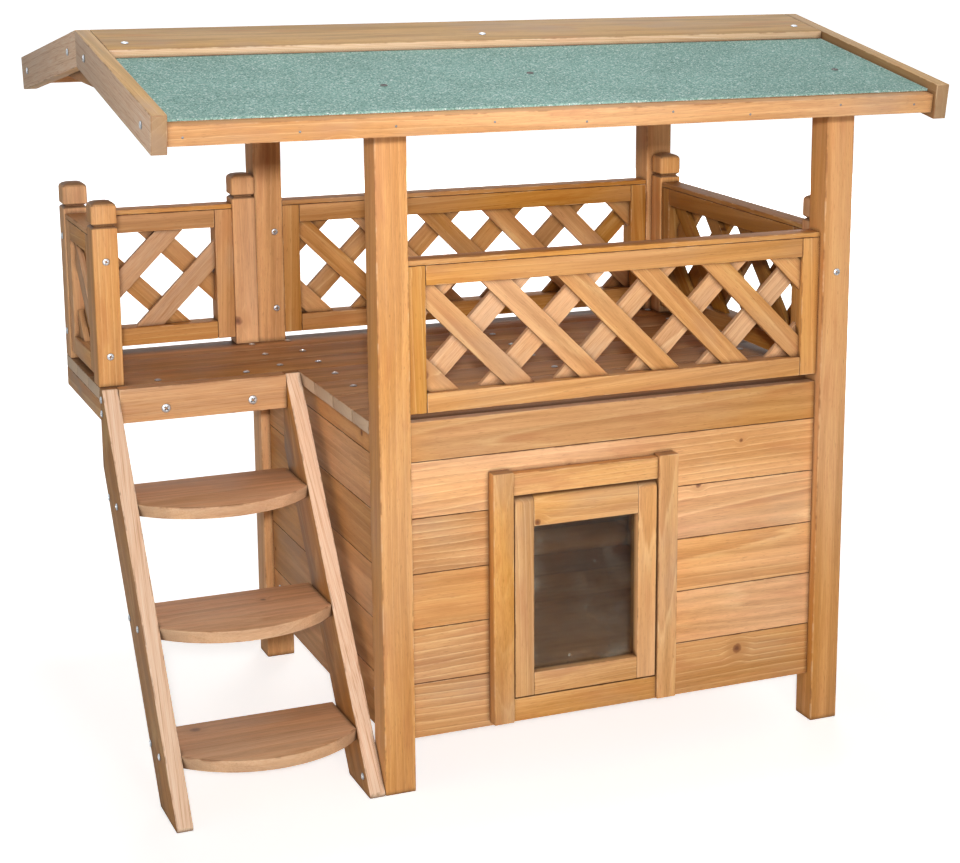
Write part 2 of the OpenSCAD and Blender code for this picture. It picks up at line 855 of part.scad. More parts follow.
module felt_front() {
    color(FELT)
        to_ridge()
            difference() {
                box([-roof_x, eave_y + eave_t, -felt_t], [roof_x, felt_t, 0]);
                slope_holes();
            }
}

module felt_rear() mirror([0, 1, 0]) felt_front();

module barge_boards(x0) {
    color(WOOD)
        both_slopes()
            to_ridge(bar_joint)
                difference() {
                    box([x0, -slope_len, barge_rise - barge_h], [x0 + barge_t, barge_h, barge_rise]);
                    screw_holes(barge_spots);
                }
}

module barge_boards_left() barge_boards(-roof_len / 2);
module barge_boards_right() barge_boards(roof_x);

module eave_boards() {
    color(WOOD)
        both_slopes()
            on_slope()
                box([-roof_x, eave_y, -eave_drop - eave_h], [roof_x, eave_y + eave_t, -eave_drop]);
}

module ridge_boards() {
    color(WOOD)
        both_slopes()
            to_ridge(bar_joint)
                difference() {
                    box([-roof_x, -ridge_board_w, 0], [roof_x, ridge_board_t, ridge_board_t]);
                    screw_holes(ridge_spots);
                }
}

// Bearers from post to post, on the inner side of the posts
module roof_bearers() {
    y0 = house_y0 + post_w;
    z0 = under_panel(y0) - bearer_h;
    color(WOOD)
        both_slopes()
            difference() {
                box([house_x0, y0, z0], [house_x1, y0 + bearer_w, ridge_h]);
                above_panels();
                on_slope()
                    screw_holes(felt_spots);
            }
}

// Cleats that join the barge boards under the ridge
module ridge_cleats() {
    z1 = under_panel(0);
    color(WOOD)
        for (x = [-roof_x, roof_x - cleat_t])
            difference() {
                box([x, -cleat_len / 2, z1 - cleat_h], [x + cleat_t, cleat_len / 2, ridge_h]);
                above_panels();
            }
}

// Fasteners
module deck_screws() {
    color(ZINC)
        screws(deck_spots, deck_screw_len);
}

module frame_screws() {
    color(ZINC) {
        screws(fixing_spots, screw_len, fixing_head_d);
        screws(concat(tread_spots, top_board_spots, foot_spots, newel_spots, post_spots));
        screws(wall_spots, nail_len);
    }
}

module roof_screws() {
    color(ZINC)
        both_slopes()
            on_slope() {
                screws(ridge_spots, panel_t + felt_t + ridge_board_t - 1);
                screws(barge_spots);
                screws(felt_spots);
            }
}

post_front_left();
post_front_right();
post_rear_left();
post_rear_right();
front_wall_boards();
left_wall_boards();
right_wall_boards();
rear_wall_boards();
wall_battens();
floor_panel();
floor_bearers();
door_trim_left();
door_trim_right();
door_trim_top();
door_trim_bottom();
flap_stile_left();
flap_stile_right();
flap_rail_top();
flap_rail_bottom();
flap_pane();
flap_pins();
deck_boards_long();
deck_boards_short();
deck_joists();
balcony_bearers();
newel_balcony_front();
newel_balcony_rear();
newel_rear_left();
newel_rear_right();
newel_front_right();
railing_balcony_end();
railing_balcony_rear();
railing_rear();
railing_side();
railing_front();
lattice_balcony_end();
lattice_balcony_rear();
lattice_rear();
lattice_side();
lattice_front();
ladder_stringer_left();
ladder_stringer_right();
ladder_top_board();
tread_lower();
tread_middle();
tread_upper();
roof_panel_front();
roof_panel_rear();
felt_front();
felt_rear();
barge_boards_left();
barge_boards_right();
eave_boards();
ridge_boards();
roof_bearers();
ridge_cleats();
deck_screws();
frame_screws();
roof_screws();
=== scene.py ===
# %% [markdown]
# # Dressing an outdoor cat house
#
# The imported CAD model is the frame: every board, bar and screw is already in its place.
# This lesson gives it the look of stained softwood, mineral felt, zinc screws and a clear
# acrylic pane, and sets it up in a plain studio at the photograph's viewing angle.
# All lengths are in metres unless a name ends in `_mm`.

import math
import random

import bmesh
import bpy
import numpy as np
from mathutils import Matrix, Vector


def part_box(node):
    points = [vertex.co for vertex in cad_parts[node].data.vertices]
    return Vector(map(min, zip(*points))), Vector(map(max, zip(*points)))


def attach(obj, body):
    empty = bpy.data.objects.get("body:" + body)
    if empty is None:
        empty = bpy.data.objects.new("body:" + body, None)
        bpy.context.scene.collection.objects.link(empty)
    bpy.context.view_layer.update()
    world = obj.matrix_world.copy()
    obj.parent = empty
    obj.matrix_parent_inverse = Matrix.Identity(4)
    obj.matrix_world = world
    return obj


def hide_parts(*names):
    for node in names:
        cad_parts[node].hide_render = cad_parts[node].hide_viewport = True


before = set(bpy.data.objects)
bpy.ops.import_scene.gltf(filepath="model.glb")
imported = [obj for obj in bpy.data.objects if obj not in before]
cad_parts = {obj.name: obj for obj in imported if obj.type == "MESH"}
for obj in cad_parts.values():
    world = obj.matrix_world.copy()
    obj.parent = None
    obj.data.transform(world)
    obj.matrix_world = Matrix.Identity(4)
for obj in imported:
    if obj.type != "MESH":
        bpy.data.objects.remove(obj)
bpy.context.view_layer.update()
print("CAD nodes:", len(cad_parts))

# %% [markdown]
# ## Small helpers
#
# Colours are written as the sRGB hex that the eye would name. One function adds a shader
# node, sets it and links it, and a few more stand for the nodes that come up again and
# again, so that each material reads as a list of its ingredients.

# %% Helpers
MM = 0.001


def srgb(code):
    parts = [int(code[i:i + 2], 16) / 255 for i in (1, 3, 5)]
    linear = [c / 12.92 if c <= 0.04045 else ((c + 0.055) / 1.055) ** 2.4 for c in parts]
    return (*linear, 1.0)


def add(tree, kind, inputs=None, **settings):
    node = tree.nodes.new(kind)
    for key, value in settings.items():
        setattr(node, key, value)
    for key, value in (inputs or {}).items():
        if isinstance(value, bpy.types.NodeSocket):
            tree.links.new(value, node.inputs[key])
        else:
            node.inputs[key].default_value = value
    return node


def finish(name):
    material = bpy.data.materials.new(name)
    material.use_nodes = True
    tree = material.node_tree
    return material, tree, tree.nodes["Principled BSDF"]


def ramp(tree, factor, stops):
    node = add(tree, "ShaderNodeValToRGB", {"Fac": factor})
    elements = node.color_ramp.elements
    while len(elements) < len(stops):
        elements.new(0.5)
    for element, (place, value) in zip(elements, stops):
        element.position = place
        element.color = srgb(value) if isinstance(value, str) else (value, value, value, 1)
    return node.outputs["Color"]


def blend(tree, factor, low, high, how="MIX"):
    node = add(tree, "ShaderNodeMix", {0: factor, 6: low, 7: high}, data_type="RGBA", blend_type=how)
    return node.outputs[2]


def maths(tree, how, a, b=0.0, c=0.0, clamp=False):
    return add(tree, "ShaderNodeMath", {0: a, 1: b, 2: c}, operation=how, use_clamp=clamp).outputs[0]


def scaled(tree, vector, along, across, depth=None):
    size = (1 / along, 1 / across, 1 / (depth or across))
    return add(tree, "ShaderNodeVectorMath", {0: vector, 1: size}, operation="MULTIPLY").outputs[0]


def noise(tree, vector, scale=1.0, detail=2.0, rough=0.5, twist=0.0, output="Fac"):
    settings = {"Vector": vector, "Scale": scale, "Detail": detail, "Roughness": rough, "Distortion": twist}
    return add(tree, "ShaderNodeTexNoise", settings).outputs[output]


def fade(tree, value, start, stop, low=0.0, high=1.0, how="SMOOTHSTEP"):
    limits = {"Value": value, "From Min": start, "From Max": stop, "To Min": low, "To Max": high}
    return add(tree, "ShaderNodeMapRange", limits, interpolation_type=how).outputs[0]


def place_on(tree):
    return add(tree, "ShaderNodeTexCoord").outputs["Object"]


# %% [markdown]
# ## Camera
#
# The camera stands to the front left, a little above the roof, and looks slightly down.
# Its place and lens come from the straight edges of the house.

# %% Camera
IMAGE_W, IMAGE_H = 960, 863
SENSOR_MM = 36
CAMERA_AT = Vector((-773.6, -2042.2, 863.8)) * MM
YAW, PITCH, ROLL = math.radians(25.0), math.radians(13.05), math.radians(0.45)
FOCAL_PX = 2141.7
CENTRE_PX = (620, 370)

forward = Vector((math.sin(YAW) * math.cos(PITCH), math.cos(YAW) * math.cos(PITCH), -math.sin(PITCH)))
level_right = Vector((math.cos(YAW), -math.sin(YAW), 0))
level_down = forward.cross(level_right)
right = level_right * math.cos(ROLL) - level_down * math.sin(ROLL)
down = level_right * math.sin(ROLL) + level_down * math.cos(ROLL)

camera_data = bpy.data.cameras.new("camera")
camera_data.sensor_width = SENSOR_MM
camera_data.lens = FOCAL_PX * SENSOR_MM / IMAGE_W
camera_data.shift_x = (IMAGE_W / 2 - CENTRE_PX[0]) / IMAGE_W
camera_data.shift_y = (CENTRE_PX[1] - IMAGE_H / 2) / IMAGE_W
camera = bpy.data.objects.new("camera", camera_data)
bpy.context.scene.collection.objects.link(camera)
turn = Matrix((right, -down, -forward)).transposed()
camera.matrix_world = Matrix.Translation(CAMERA_AT) @ turn.to_4x4()
bpy.context.scene.camera = camera
print("lens", round(camera_data.lens, 1), "mm")

# %% [markdown]
# ## Stained fir
#
# Each timber carries its own grain space, `grain`, in millimetres: x runs along the board,
# and the tree's core lies at y = z = 0. Growth rings are circles about that core, so sawn
# faces show straight or pointed figure and cut ends show arcs, without any picture.
# `board` holds three numbers for a whole board: how light it is, how bold its rings are and
# how grey its stain dried. `end` marks cut ends and `arris` marks eased edges. One more mark
# makes faces paler, as where less stain took; where it is negative it darkens a face, which
# is painted shade on the right barge board and a darker top on each newel.

# %% Stained fir
KNOT_CELL_MM = 95
KNOT_SHARE = 0.25


def stained_fir(name, pale, mid, deep, ring_mm=7.0, nook_shade_and_dirt_mm=7.0):
    material, tree, skin = finish(name)

    def attribute(key, output="Fac"):
        return add(tree, "ShaderNodeAttribute", attribute_name=key).outputs[output]

    def figure(space, along_mm, across_mm, detail=2.0, rough=0.5, output="Fac"):
        return noise(tree, scaled(tree, space, along_mm, across_mm), 1.0, detail, rough, output=output)

    def times(a, b):
        return maths(tree, "MULTIPLY", a, b)

    def times_plus(a, b, c):
        return maths(tree, "MULTIPLY_ADD", a, b, c)

    def vectors(how, *terms):
        return add(tree, "ShaderNodeVectorMath", dict(enumerate(terms)), operation=how).outputs

    def between(value, start, stop, low=0.0, high=1.0):
        return fade(tree, value, start, stop, low, high)

    def stain(factor, under, code):
        return blend(tree, factor, under, srgb(code))

    grain = attribute("grain", "Vector")
    tone, bold, grey = add(tree, "ShaderNodeSeparateXYZ", {0: attribute("board", "Vector")}).outputs[:]
    end, bare, arris = attribute("end"), attribute("bare"), attribute("arris")

    # knots: a few round dark eyes, which the grain flows round
    cells = {"Vector": scaled(tree, grain, KNOT_CELL_MM, KNOT_CELL_MM), "Scale": 1.0}
    spots = add(tree, "ShaderNodeTexVoronoi", cells, voronoi_dimensions="2D")
    lot, girth, _ = add(tree, "ShaderNodeSeparateColor", {"Color": spots.outputs["Color"]}).outputs[:]
    chosen = maths(tree, "LESS_THAN", lot, KNOT_SHARE)
    lumps = figure(grain, 5, 4)
    near = times(spots.outputs["Distance"], times_plus(girth, 1.1, 0.8))
    rim = times_plus(lumps, 0.03, maths(tree, "ADD", near, -0.015))
    eye = between(rim, 0.052, 0.03, 0.0, times(chosen, 0.85))
    core = between(rim, 0.03, 0.01, 0.0, times(chosen, 0.7))
    halo = between(near, 0.2, 0.03, 0.0, chosen)

    # growth rings, bent by a slow sway and frayed along the fibres
    sway = figure(grain, 520, 160, 1.0, output="Color")
    swing = vectors("MULTIPLY_ADD", sway, (0, 18, 18), (0, -9, -9))[0]
    bent = vectors("ADD", grain, swing)[0]
    radius = vectors("LENGTH", vectors("MULTIPLY", bent, (0, 1, 1))[0])["Value"]
    fray = figure(grain, 130, 3, 4.0, 0.6)
    pushed = times_plus(halo, 5.0, times_plus(fray, 1.4, radius))
    uneven = figure(bent, 2500, 24)
    phase = maths(tree, "FRACT", times_plus(pushed, 1 / ring_mm, times(uneven, 1.6)))
    line = ramp(tree, phase, [(0.0, 0.3), (0.2, 0.08), (0.7, 0.0), (0.82, 0.15), (0.88, 1.0), (0.93, 0.75),
                              (1.0, 0.3)])
    dark = ramp(tree, phase, [(0.45, 0.0), (0.7, 0.45), (0.79, 1.0), (0.83, 0.0)])

    # broad stain bands, fine fibres, flecks and soft clouds
    band = figure(bent, 600, 12)
    fibre = figure(bent, 60, 0.8, 3.0, 0.65)
    flecks = figure(bent, 10, 0.55, 1.0)
    rust = figure(bent, 90, 14, 3.0)
    cloud = figure(grain, 120, 50, 3.0)

    strength = times(between(cloud, 0.3, 0.7, 0.35, 0.95), bold)
    body = blend(tree, between(band, 0.36, 0.66), srgb(mid), srgb(deep))
    lined = stain(times(line, strength), body, pale)
    shaded = stain(times(dark, times(strength, 0.5)), lined, "#a4673a")
    fibred = blend(tree, 0.4, shaded, ramp(tree, fibre, [(0.3, 0.3), (0.7, 0.7)]), "OVERLAY")
    flecked = stain(between(flecks, 0.64, 0.76, 0.0, 0.55), fibred, "#9a6238")
    rusty = stain(between(rust, 0.54, 0.74, 0.0, 0.45), flecked, "#bd7a49")
    clouded = stain(between(cloud, 0.5, 0.75, 0.0, grey), rusty, "#b3947a")
    ringed = stain(between(halo, 0.2, 1.0, 0.0, 0.7), clouded, deep)
    eyed = stain(eye, ringed, "#8f5a38")
    knotted = stain(core, eyed, "#6b432e")

    # lighter boards are also less red, as sapwood is, and the depth of colour drifts along a board
    drift = times_plus(figure(grain, 300, 90, 1.0), 0.36, 0.81)
    value, depth = times_plus(tone, 0.14, 1.0), times_plus(tone, -0.04, drift)
    dose = {"Color": knotted, "Value": value, "Saturation": depth}
    toned = add(tree, "ShaderNodeHueSaturation", dose).outputs["Color"]

    # planed faces are pale and cut ends are dark; faces marked darker are darkened, which is painted shade
    # on the right barge board and a darker top on each newel
    sanding = times_plus(dark, -0.16, fibre)
    sanded = ramp(tree, sanding, [(0.22, "#d3a27f"), (0.45, "#f6cfae"), (0.7, "#fee6d0")])
    planed = blend(tree, times(bare, 0.88), toned, sanded)
    darkened_faces = stain(times(bare, -1.0), planed, "#7a5432")
    cut_end = blend(tree, bare, srgb("#96765a"), srgb("#cbb496"))
    sawn = blend(tree, times(end, 0.66), darkened_faces, cut_end)

    # on the eased edges, pale marks are painted highlights and stain rubbed off in places, and dark marks
    # are stain that lies thick
    rub_and_glint = figure(grain, 22, 22, 3.0, 0.6)
    rubbed_and_highlit = stain(times(arris, between(rub_and_glint, 0.5, 0.66, 0.0, 0.35)), sawn, "#ecc9a0")
    edged = stain(times(arris, between(rub_and_glint, 0.5, 0.36, 0.0, 0.5)), rubbed_and_highlit, "#8f5a34")

    # painted shade darkens the corners between timbers, together with the stain and dust that gather there
    nook_shade_and_dirt = add(tree, "ShaderNodeAmbientOcclusion", {"Distance": nook_shade_and_dirt_mm * MM}, samples=6).outputs["AO"]
    colour = stain(between(nook_shade_and_dirt, 0.9, 0.35, 0.0, 0.8), edged, "#523019")
    tree.links.new(colour, skin.inputs["Base Color"])

    tree.links.new(between(fibre, 0.2, 0.8, 0.42, 0.58), skin.inputs["Roughness"])
    relief = {"Strength": 0.22, "Distance": 0.4 * MM, "Height": times_plus(line, 0.3, fibre)}
    tree.links.new(add(tree, "ShaderNodeBump", relief).outputs[0], skin.inputs["Normal"])
    skin.inputs["Specular IOR Level"].default_value = 0.18
    return material


# walls, most posts and railings, ladder and eaves: warm honey with pale growth lines
honey_fir = stained_fir("stained_fir_honey", "#f0c98e", "#d9a067", "#c28a54")
# left front post and front railing: the same stain on redder heartwood
post_fir = stained_fir("stained_fir_post", "#f0c486", "#dca05e", "#c68a4c")
# ridge and barge boards: stain that the sun has turned to a dull tan
roof_fir = stained_fir("stained_fir_roof", "#e6c490", "#caa069", "#b08a56")
# doorway trim and flap: the same stain on yellower, finer wood
trim_fir = stained_fir("stained_fir_trim", "#f2cc92", "#dca468", "#c68f56", ring_mm=4.5)
# deck boards: a little browner, with a wider painted shade in the corners and under the rails
deck_fir = stained_fir("stained_fir_deck", "#dcb788", "#c0905e", "#a67749", nook_shade_and_dirt_mm=16.0)
print("timber finishes made")

# %% [markdown]
# ## Felt, zinc and acrylic
#
# Roofing felt is a sheet of fine coloured granules, so its colour and its bump come from the
# same small cells. Zinc is bright but a little uneven. The pane is clear, with a film of dust.

# %% Felt, zinc, acrylic
GRANULE = 1.2 * MM
HAZE = 1.2 * MM
SPECK_CELL = 9 * MM


def mineral_felt(name):
    material, tree, skin = finish(name)
    place = place_on(tree)
    grit = add(tree, "ShaderNodeTexVoronoi", {"Vector": place, "Scale": 1 / GRANULE})
    lot = add(tree, "ShaderNodeSeparateColor", {"Color": grit.outputs["Color"]}).outputs[0]
    flakes = ramp(tree, lot, [(0.0, "#648a80"), (0.25, "#82a79d"), (0.6, "#93b6ad"), (0.86, "#a6c4bc"),
                              (1.0, "#dde8e4")])
    drift = noise(tree, place, 1 / (60 * MM), 3.0)
    worn = blend(tree, 0.3, flakes, ramp(tree, drift, [(0.35, 0.38), (0.65, 0.6)]), "OVERLAY")
    tree.links.new(worn, skin.inputs["Base Color"])
    skin.inputs["Roughness"].default_value = 0.9
    skin.inputs["Specular IOR Level"].default_value = 0.25
    relief = {"Strength": 0.6, "Distance": 0.5 * MM, "Height": grit.outputs["Distance"]}
    tree.links.new(add(tree, "ShaderNodeBump", relief).outputs[0], skin.inputs["Normal"])
    return material


def bright_zinc(name):
    material, tree, skin = finish(name)
    haze = noise(tree, place_on(tree), 1 / HAZE, 3.0)
    # small nails and felt pins are made dull and dark
    dull = add(tree, "ShaderNodeAttribute", attribute_name="dull").outputs["Fac"]
    bright = ramp(tree, haze, [(0.3, "#ccd2da"), (0.7, "#f2f5f8")])
    tree.links.new(blend(tree, dull, bright, srgb("#55504a")), skin.inputs["Base Color"])
    tree.links.new(fade(tree, haze, 0.0, 1.0, 0.4, 0.58, "LINEAR"), skin.inputs["Roughness"])
    skin.inputs["Metallic"].default_value = 1.0
    return material


def dusty_acrylic(name):
    material, tree, skin = finish(name)
    place = place_on(tree)
    # specks of dirt, each of its own size
    specks = add(tree, "ShaderNodeTexVoronoi", {"Vector": place, "Scale": 1 / SPECK_CELL})
    lot = add(tree, "ShaderNodeSeparateColor", {"Color": specks.outputs["Color"]}).outputs[0]
    size = maths(tree, "SUBTRACT", specks.outputs["Distance"], lot)
    speck = ramp(tree, maths(tree, "ADD", size, 0.9), [(0.05, 1.0), (0.1, 0.0)])
    # dust clings to the left and lower edges
    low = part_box("flap_pane")[0]
    x, _, z = add(tree, "ShaderNodeSeparateXYZ", {0: place}).outputs[:]
    margin = maths(tree, "MINIMUM", maths(tree, "SUBTRACT", x, low[0]), maths(tree, "SUBTRACT", z, low[2]))
    edge = fade(tree, margin, 3 * MM, 22 * MM, 0.5, 0.12, "LINEAR")
    # broad smears, broken up by the streaks of a wipe
    smear = noise(tree, scaled(tree, place, 30 * MM, 30 * MM, 22 * MM), detail=5.0)
    wipe = noise(tree, scaled(tree, place, 11 * MM, 11 * MM, 6 * MM), detail=5.0, rough=0.65, twist=1.2)
    streaks = blend(tree, 0.6, ramp(tree, smear, [(0.4, 0.0), (0.65, 1.0)]),
                    ramp(tree, wipe, [(0.42, 0.0), (0.68, 1.0)]), "MULTIPLY")
    dust = maths(tree, "MULTIPLY_ADD", speck, 0.3, maths(tree, "MULTIPLY", streaks, edge))
    tree.links.new(maths(tree, "SUBTRACT", 1.0, dust, clamp=True), skin.inputs["Transmission Weight"])
    tree.links.new(maths(tree, "ADD", dust, 0.42, clamp=True), skin.inputs["Alpha"])
    tree.links.new(blend(tree, dust, srgb("#b9af9a"), srgb("#d8d2c4")), skin.inputs["Base Color"])
    skin.inputs["Roughness"].default_value = 0.05
    skin.inputs["IOR"].default_value = 1.49
    skin.inputs["Specular IOR Level"].default_value = 0.14
    return material


felt = mineral_felt("mineral_felt_green")
zinc = bright_zinc("zinc_bright")
acrylic = dusty_acrylic("acrylic_clear_dusty")
print("felt, zinc and acrylic made")

# %% [markdown]
# ## Timbers
#
# A timber takes its exact shape from its CAD solid: the corner points of each board are
# wrapped in a hull, the sawn edges are eased by a small radius as sandpaper does it, and
# the grain space is laid along the board's longest edge.

# %% Timber builder


def boards_of(node):
    mesh = bmesh.new()
    mesh.from_mesh(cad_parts[node].data)
    bmesh.ops.remove_doubles(mesh, verts=mesh.verts[:], dist=1e-6)
    left = set(mesh.verts)
    boards = []
    while left:
        first = left.pop()
        group, edge = [first], [first]
        while edge:
            near = [e.other_vert(v) for v in edge for e in v.link_edges]
            edge = list({v for v in near if v in left})
            left.difference_update(edge)
            group.extend(edge)
        boards.append([v.co.copy() for v in group])
    mesh.free()
    return sorted(boards, key=lambda b: tuple(round(sum(p[i] for p in b) / len(b), 4) for i in (2, 1, 0)))


def hull_of(points):
    mesh = bmesh.new()
    for p in points:
        mesh.verts.new(p)
    made = bmesh.ops.convex_hull(mesh, input=mesh.verts[:])
    spare = [g for g in made["geom_interior"] + made["geom_unused"] if isinstance(g, bmesh.types.BMVert)]
    bmesh.ops.delete(mesh, geom=list(set(spare)), context="VERTS")
    bmesh.ops.dissolve_limit(mesh, angle_limit=0.02, verts=mesh.verts[:], edges=mesh.edges[:])
    return mesh


def prism_of(outline, low, high, upright=False):
    mesh = bmesh.new()
    corners = [(x, low, y) if upright else (x, y, low) for x, y in outline]
    face = mesh.faces.new([mesh.verts.new(c) for c in corners])
    top = bmesh.ops.extrude_face_region(mesh, geom=[face])
    moved = [g for g in top["geom"] if isinstance(g, bmesh.types.BMVert)]
    bmesh.ops.translate(mesh, verts=moved, vec=(0, high - low, 0) if upright else (0, 0, high - low))
    bmesh.ops.recalc_face_normals(mesh, faces=mesh.faces[:])
    return mesh


def grain_axes(mesh):
    longest = max(mesh.edges, key=lambda e: e.calc_length())
    along = (longest.verts[1].co - longest.verts[0].co).normalized()
    along = along if along.dot(Vector((1, 1, 1))) > 0 else -along
    sides = [f for f in mesh.faces if abs(f.normal.dot(along)) < 0.5]
    out = max(sides, key=lambda f: f.calc_area()).normal
    out = (out - along * out.dot(along)).normalized()
    return along, out.cross(along), out


def ease(mesh, radius):
    sharp = [e for e in mesh.edges if len(e.link_faces) == 2 and e.calc_face_angle(0) > 0.5]
    made = bmesh.ops.bevel(mesh, geom=sharp, offset=radius, segments=2, profile=0.6, affect="EDGES")
    for face in made["faces"]:
        face.tag = True


class Stack:
    """Boards gathered into one object, each with its own grain."""

    def __init__(self, name, tone=0.0, spread=1.0, bold=0.6, grey=0.4):
        self.name, self.tone, self.spread, self.bold, self.grey = name, tone, spread, bold, grey
        self.points, self.faces = [], []
        self.grain, self.board = [], []
        self.end, self.bare, self.arris = [], [], []

    def put(self, mesh, axes, bare=0.0, paleness_side=None, cut=0.0, lighter=0.0, figure=1.0):
        chance = random.Random(f"{self.name} {len(self.faces)}")
        along, side, out = axes
        middle = sum((v.co for v in mesh.verts), Vector()) / len(mesh.verts)
        # a core behind the face gives pointed figure, one far to the side gives straight lines
        if chance.random() < 0.45:
            core = (chance.uniform(-22, 22), chance.uniform(25, 60))
        else:
            core = (chance.uniform(45, 120) * chance.choice((-1, 1)), chance.uniform(15, 60))
        tilt = chance.uniform(0.015, 0.06) * chance.choice((-1, 1))
        start = chance.uniform(0, 9000)
        lightness = self.tone + lighter + self.spread * chance.uniform(-1, 1)
        boldness = self.bold * figure * chance.uniform(0.35, 1.3)
        greyness = self.grey * chance.uniform(0.2, 1.2)
        first = len(self.points)
        for i, v in enumerate(mesh.verts):
            v.index = i
            p = (v.co - middle) / MM
            u = p.dot(along)
            self.points.append(v.co.copy())
            self.grain.extend((u + start, p.dot(side) + core[0], p.dot(out) + core[1] + tilt * u))
            self.board.extend((lightness, boldness, greyness))
        for f in mesh.faces:
            self.faces.append([first + v.index for v in f.verts])
            sawn = min(1.0, max(0.0, abs(f.normal.dot(along)) - 0.3) / 0.4)
            self.end.append(max(sawn, cut if abs(f.normal.z) < 0.3 else 0.0))
            facing = paleness_side is None or f.normal.dot(Vector(paleness_side)) > 0.6
            self.bare.append(bare if facing else 0.0)
            self.arris.append(1.0 if f.tag else 0.0)
        mesh.free()

    def build(self, material, body, nodes, sharp=20):
        data = bpy.data.meshes.new(self.name)
        data.from_pydata(self.points, [], self.faces)
        data.attributes.new("grain", "FLOAT_VECTOR", "POINT").data.foreach_set("vector", self.grain)
        data.attributes.new("board", "FLOAT_VECTOR", "POINT").data.foreach_set("vector", self.board)
        data.attributes.new("end", "FLOAT", "FACE").data.foreach_set("value", self.end)
        data.attributes.new("bare", "FLOAT", "FACE").data.foreach_set("value", self.bare)
        data.attributes.new("arris", "FLOAT", "FACE").data.foreach_set("value", self.arris)
        data.shade_smooth()
        data.set_sharp_from_angle(angle=math.radians(sharp))
        data.materials.append(material)
        piece = bpy.data.objects.new(self.name, data)
        bpy.context.scene.collection.objects.link(piece)
        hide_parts(*nodes)
        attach(piece, body)
        return piece


def timber(node, material, slot="stained_fir", body="house", eased=1.0, bare=0.0, paleness_side=None,
           cut=0.0, **look):
    stack = Stack(node + "_timber", **look)
    for points in boards_of(node):
        mesh = hull_of(points)
        axes = grain_axes(mesh)
        ease(mesh, eased * MM)
        stack.put(mesh, axes, bare, paleness_side, cut)
    return stack.build(material, body, [node])


# %% [markdown]
# ## Posts, walls and floor
#
# Most timbers are straight lengths, so one line each is enough. Posts and trim are single
# pieces; walls, railings and lattices hold many boards that differ in tone.

# %% Posts, walls and floor
# the rear left post is painted paler, to make up for the shadow that the front left post casts on it
for corner, tone in (("front_left", 0.2), ("front_right", 0.0), ("rear_left", 0.5), ("rear_right", -0.3)):
    stained = post_fir if corner == "front_left" else honey_fir
    timber("post_" + corner, stained, eased=1.5, tone=tone, spread=0.3, bold=0.45, grey=0.2)
for side in ("left", "right", "rear"):
    timber(side + "_wall_boards", honey_fir, eased=0.8, tone=0.3, bold=0.35)
# the floor panel inside is painted paler, for the light that falls on it through the pane
timber("floor_panel", honey_fir, tone=2.0, spread=0.2)
for node in ("wall_battens", "floor_bearers", "deck_joists", "roof_bearers", "ridge_cleats"):
    timber(node, honey_fir)
timber("balcony_bearers", honey_fir, grey=1.3)
print("posts, walls and floor made")

# %% [markdown]
# ## Roof timbers
#
# The roof's edges have weathered most: the faces that the sun reaches are dry and pale.

# %% Roof timbers
LEFT_FACE, FRONT_FACE = (-1, 0, 0), (0, -1, 0)
timber("eave_boards", honey_fir, tone=0.6, spread=0.2, bold=1.0)
for node in ("roof_panel_front", "roof_panel_rear"):
    timber(node, honey_fir, eased=0.5)
worn = {"spread": 0.3, "bold": 0.4}
timber("barge_boards_left", roof_fir, bare=1.0, paleness_side=LEFT_FACE, tone=1.2, grey=0.8, **worn)
# the inner face of the right barge board is painted darker, for the shade it lies in beside the felt
timber("barge_boards_right", roof_fir, bare=-0.7, paleness_side=LEFT_FACE, tone=0.0, grey=0.6, **worn)
timber("ridge_boards", roof_fir, bare=0.6, paleness_side=FRONT_FACE, tone=-0.1, spread=0.2, bold=0.4, grey=0.6)
print("roof timbers made")

# %% [markdown]
# ## Railings, doorway and ladder
#
# The railings at the back and at the right side are painted darker, for the shade under the
# roof. The doorway's trim and the flap are of finer wood, and the treads are painted paler, for
# the light that falls on their tops.

# %% Railings, doorway and ladder
# the back and side railings are painted darker, for the shade under the roof
for place, tone in (("balcony_end", 0.0), ("balcony_rear", -0.8), ("rear", -1.3), ("side", -3.0),
                    ("front", -0.7)):
    timber("railing_" + place, post_fir if place == "front" else honey_fir, tone=tone, spread=0.5)
for edge, tone in (("left", -0.5), ("right", 0.5), ("top", 1.0), ("bottom", 0.2)):
    timber("door_trim_" + edge, trim_fir, "trim_fir", tone=tone, spread=0.4, bold=0.5)
for bar, tone in (("stile_left", 0.0), ("stile_right", 1.2), ("rail_top", 0.1), ("rail_bottom", -0.1)):
    timber("flap_" + bar, trim_fir, "trim_fir", "flap", tone=tone, spread=0.4, bold=0.5)
# the stringers' front edges are made pale
STRINGER_FRONT = (0, -0.83, 0.57)
for side in ("left", "right"):
    timber("ladder_stringer_" + side, honey_fir, eased=1.5, bare=1.0, paleness_side=STRINGER_FRONT, tone=-1.3,
           spread=0.2, grey=0.8)
timber("ladder_top_board", honey_fir, eased=1.5, bare=0.25, tone=-0.8, spread=0.2, bold=0.2)
# the treads are painted paler, for the light that falls on their tops
for step in ("lower", "middle", "upper"):
    timber("tread_" + step, honey_fir, "deck_fir", eased=1.5, bare=0.3, cut=0.5, tone=1.7, spread=0.2,
           bold=0.3, grey=0.8)
print("railings, doorway and ladder made")

# %% [markdown]
# ## Lattices
#
# A lattice has two layers of slats. Those that rise to the right were planed after staining,
# so they are paler and pinker than the others. The ones further back are painted darker, for
# the shade under the roof.

